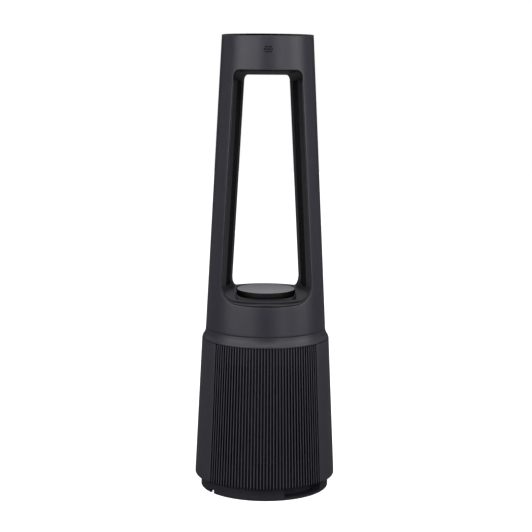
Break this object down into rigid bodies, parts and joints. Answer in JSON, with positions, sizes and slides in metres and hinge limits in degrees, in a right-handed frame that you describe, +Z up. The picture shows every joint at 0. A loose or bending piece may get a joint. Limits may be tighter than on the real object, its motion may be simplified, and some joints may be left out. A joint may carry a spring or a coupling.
{
  "type": "tower air purifier",
  "caption": "Tall dark tower air purifier and fan with a see-through tower, round display, ribbed intake covers and a swinging base.",
  "frame": {"origin": "on the floor under the middle of the base, at the underside of the foot ring", "axes": "+Z up the tower, -Y out of the front (the wider mouth of the see-through opening), +X to the right seen from the front"},
  "size_m": [0.3354, 0.3354, 1.08],
  "materials": {
    "charcoal_plastic": "fine satin moulded texture",
    "cover_plastic": "fine satin moulded texture",
    "base_plastic": "matte moulded texture",
    "gloss_black": "high gloss",
    "display_glass": "glossy smoked display cover",
    "inner_plastic": "plain moulded",
    "nylon_mesh": "fine mesh",
    "filter_paper": "pleated fibre paper",
    "carbon_fleece": "black fleece",
    "seal_foam": "closed-cell foam",
    "rubber": "matte rubber",
    "acetal": "slippery natural acetal",
    "steel": "zinc-plated steel",
    "circuit_board": "solder-masked board"
  },
  "bodies": {
    "base": {"base_housing": "base_plastic", "base_plate": "base_plastic", "foot_ring": "rubber", "ballast_ring": "steel", "ring_gear": "acetal", "glide_ring": "acetal", "cord_bush": "rubber", "power_board": "circuit_board", "base_screw_1": "steel", "base_screw_2": "steel", "base_screw_3": "steel", "base_screw_4": "steel"},
    "housing": {"tower_front_shell": "charcoal_plastic", "tower_rear_shell": "charcoal_plastic", "shoulder_ring": "charcoal_plastic", "tunnel_liner": "charcoal_plastic", "chassis_pan": "base_plastic", "top_cap": "gloss_black", "floor_panel": "gloss_black", "display_disc": "display_glass", "turntable": "inner_plastic", "filter_seat": "inner_plastic", "side_post_left": "inner_plastic", "side_post_right": "inner_plastic", "dust_sensor": "inner_plastic", "filter_bottom_cap": "inner_plastic", "filter_top_cap": "inner_plastic", "fan_deck": "inner_plastic", "inlet_guard": "inner_plastic", "inlet_bellmouth": "inner_plastic", "air_diffuser": "inner_plastic", "outlet_channel_left": "inner_plastic", "outlet_channel_right": "inner_plastic", "display_drum": "inner_plastic", "pleated_filter": "filter_paper", "carbon_layer": "carbon_fleece", "filter_seal": "seal_foam", "filter_pull_tab": "rubber", "swing_motor": "steel", "fan_motor": "steel", "vane_motor_left": "steel", "vane_motor_right": "steel", "cover_magnet_left_lower": "steel", "cover_magnet_left_upper": "steel", "cover_magnet_right_lower": "steel", "cover_magnet_right_upper": "steel", "display_board": "circuit_board", "sensor_board": "circuit_board", "control_board": "circuit_board"},
    "pinion": {"swing_pinion": "acetal"},
    "front_cover": {"front_grille_cover": "cover_plastic", "front_prefilter": "nylon_mesh"},
    "rear_cover": {"rear_grille_cover": "cover_plastic", "rear_prefilter": "nylon_mesh"},
    "impeller": {"fan_impeller": "inner_plastic"},
    "left_vane": {"guide_vane_left": "inner_plastic"},
    "right_vane": {"guide_vane_right": "inner_plastic"}
  },
  "joints": [
    {"name": "housing_swing", "type": "hinge", "parent": "base", "child": "housing", "pos_m": [0, 0, 0.03], "axis": [0, 0, 1], "range_deg": [-45, 45]},
    {"name": "pinion_spin", "type": "hinge", "parent": "housing", "child": "pinion", "pos_m": [0.03, 0.05196, 0.015], "axis": [0, 0, 1], "range_deg": [-136, 136]},
    {"name": "fan_spin", "type": "hinge", "parent": "housing", "child": "impeller", "pos_m": [0, 0, 0.39], "axis": [0, 0, 1], "continuous": true},
    {"name": "right_vane_turn", "type": "hinge", "parent": "housing", "child": "right_vane", "pos_m": [0.08821, -0.008, 0.733], "axis": [-0.0517, 0, 0.9987], "range_deg": [-18, 18]},
    {"name": "left_vane_turn", "type": "hinge", "parent": "housing", "child": "left_vane", "pos_m": [-0.08821, -0.008, 0.733], "axis": [0.0517, 0, 0.9987], "range_deg": [-18, 18]},
    {"name": "front_cover_release", "type": "slide", "parent": "housing", "child": "front_cover", "axis": [0, -1, 0], "range_m": [0, 0.08]},
    {"name": "rear_cover_release", "type": "slide", "parent": "housing", "child": "rear_cover", "axis": [0, 1, 0], "range_m": [0, 0.08]}
  ],
  "couplings": [
    {"joint": "pinion_spin", "follows": "housing_swing", "ratio": 3},
    {"joint": "left_vane_turn", "follows": "right_vane_turn", "ratio": -1}
  ]
}
